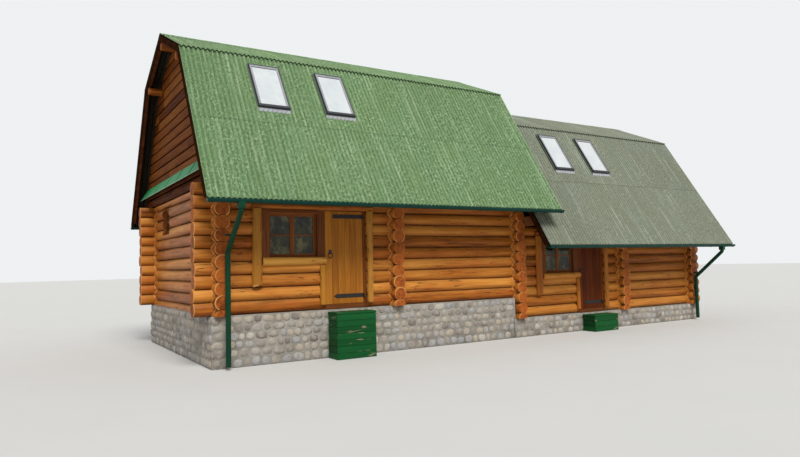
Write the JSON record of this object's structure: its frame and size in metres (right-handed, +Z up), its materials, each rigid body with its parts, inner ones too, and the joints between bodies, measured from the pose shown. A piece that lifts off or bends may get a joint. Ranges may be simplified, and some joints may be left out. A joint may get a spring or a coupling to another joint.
{
  "type": "log cabin",
  "caption": "Log cabin in two stepped sections with notched round log walls, gambrel roofs of green corrugated sheet, roof windows and a plank door in each section.",
  "frame": {"origin": "foot of the stone plinth under the middle of the party wall between the two sections, at the level that the cabin rests on", "axes": "+X along the front from the higher left section to the lower right one, +Y from the front to the rear, +Z up"},
  "size_m": [15.32, 8.0736, 7.1958],
  "materials": {
    "round_logs": "stained natural round logs",
    "cobble_stone": "cobbles in mortar",
    "sawn_timber": "sawn",
    "left_roof_sheet": "matt green corrugated fibre sheet",
    "right_roof_sheet": "matt weathered green corrugated fibre sheet",
    "gable_boards": "red-brown stain",
    "dark_boards": "dark stain",
    "green_steel": "gloss paint",
    "red_brown_joinery": "stain",
    "golden_door": "varnish",
    "clear_glass": "clear",
    "grey_aluminium": "satin",
    "peeled_wood": "varnished peeled poles",
    "black_iron": "black",
    "green_boards": "paint"
  },
  "bodies": {
    "root": {"attic_boards": "sawn_timber", "attic_joists": "sawn_timber", "barge_boards": "dark_boards", "cross_wall_left": "round_logs", "cross_wall_right": "round_logs", "door_frame_left": "red_brown_joinery", "door_frame_right": "red_brown_joinery", "door_pins": "black_iron", "door_steps": "green_boards", "downspouts": "green_steel", "floor_boards": "sawn_timber", "front_wall_left": "round_logs", "front_wall_right": "round_logs", "gable_left": "gable_boards", "gable_right": "gable_boards", "gable_step": "gable_boards", "gutter_brackets": "green_steel", "gutters": "green_steel", "left_end_wall": "round_logs", "party_wall": "round_logs", "pent_strips": "green_steel", "plinth_left": "cobble_stone", "plinth_right": "cobble_stone", "poles_left": "peeled_wood", "poles_right": "peeled_wood", "purlins": "sawn_timber", "rafters": "sawn_timber", "rear_wall_left": "round_logs", "rear_wall_right": "round_logs", "ridge_caps": "left_roof_sheet", "right_end_wall": "round_logs", "roof_sheets_front_left": "left_roof_sheet", "roof_sheets_front_right": "right_roof_sheet", "roof_sheets_rear_left": "left_roof_sheet", "roof_sheets_rear_right": "right_roof_sheet", "roof_window_aprons": "grey_aluminium", "roof_window_frames": "grey_aluminium", "roof_window_glass": "clear_glass", "window_frames": "red_brown_joinery", "window_glass": "clear_glass"},
    "left_door": {"door_left": "golden_door", "door_straps_left": "black_iron", "door_ring_left": "black_iron"},
    "right_door": {"door_right": "red_brown_joinery", "door_straps_right": "black_iron", "door_ring_right": "black_iron"}
  },
  "joints": [
    {"name": "left_door_hinge", "type": "hinge", "parent": "root", "child": "left_door", "pos_m": [-4.3075, -2.8353, 2.03], "axis": [0, 0, 1], "range_deg": [0, 95]},
    {"name": "right_door_hinge", "type": "hinge", "parent": "root", "child": "right_door", "pos_m": [3.0425, -2.8353, 1.53], "axis": [0, 0, 1], "range_deg": [0, 95]}
  ]
}
